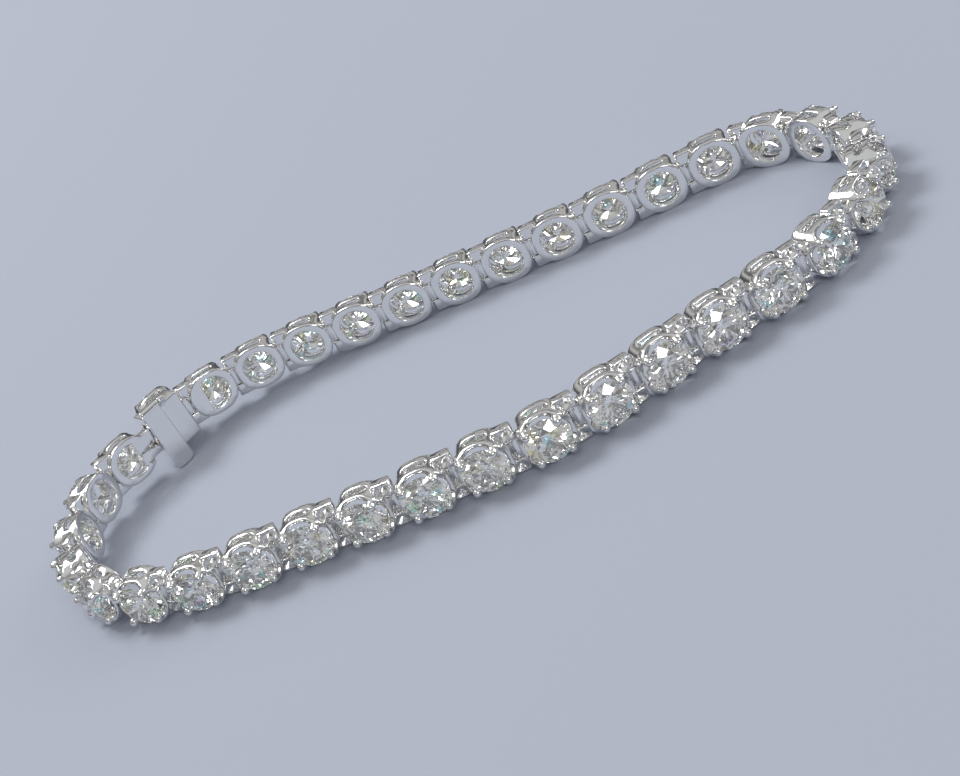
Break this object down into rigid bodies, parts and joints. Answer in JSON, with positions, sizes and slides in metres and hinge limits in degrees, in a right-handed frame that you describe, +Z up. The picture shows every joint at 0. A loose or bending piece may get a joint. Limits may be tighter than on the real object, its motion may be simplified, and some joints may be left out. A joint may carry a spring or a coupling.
{
  "type": "tennis bracelet",
  "caption": "Flexible line bracelet of hinged four-prong settings with round brilliants, closed by a box clasp with a fold-over safety latch.",
  "frame": {"origin": "middle of the underside of the whole, on the surface that the closed bracelet lies on", "axes": "+X along the loop's long axis, +Y across the loop towards the clasp, +Z up across the width of the links"},
  "size_m": [0.0772, 0.0422, 0.0068],
  "materials": {
    "white_gold": "polished rhodium-plated white gold",
    "brilliant": "clear faceted round brilliant"
  },
  "bodies": {
    "bracelet": {"setting_pair_33_34": "white_gold", "setting_pair_35_01": "white_gold", "setting_pair_02_03": "white_gold", "setting_pair_04_05": "white_gold", "setting_pair_06_07": "white_gold", "setting_pair_08_09": "white_gold", "setting_pair_10_11": "white_gold", "setting_pair_12_13": "white_gold", "setting_pair_14_15": "white_gold", "setting_pair_16_17": "white_gold", "setting_pair_18_19": "white_gold", "setting_pair_20_21": "white_gold", "setting_pair_22_23": "white_gold", "setting_pair_24_25": "white_gold", "setting_pair_26_27": "white_gold", "setting_pair_28_29": "white_gold", "setting_30": "white_gold", "clasp_box": "white_gold", "tongue_link": "white_gold", "stone_32": "brilliant", "stone_33": "brilliant", "stone_34": "brilliant", "stone_35": "brilliant", "stone_01": "brilliant", "stone_02": "brilliant", "stone_03": "brilliant", "stone_04": "brilliant", "stone_05": "brilliant", "stone_06": "brilliant", "stone_07": "brilliant", "stone_08": "brilliant", "stone_09": "brilliant", "stone_10": "brilliant", "stone_11": "brilliant", "stone_12": "brilliant", "stone_13": "brilliant", "stone_14": "brilliant", "stone_15": "brilliant", "stone_16": "brilliant", "stone_17": "brilliant", "stone_18": "brilliant", "stone_19": "brilliant", "stone_20": "brilliant", "stone_21": "brilliant", "stone_22": "brilliant", "stone_23": "brilliant", "stone_24": "brilliant", "stone_25": "brilliant", "stone_26": "brilliant", "stone_27": "brilliant", "stone_28": "brilliant", "stone_29": "brilliant", "stone_30": "brilliant", "stone_31": "brilliant"},
    "latch": {"safety_latch": "white_gold"}
  },
  "joints": [
    {"name": "latch_hinge", "type": "hinge", "parent": "bracelet", "child": "latch", "pos_m": [-0.02634, 0.01428, 0.00645], "axis": [-0.8772, -0.4801, 0], "range_deg": [0, 110]}
  ]
}
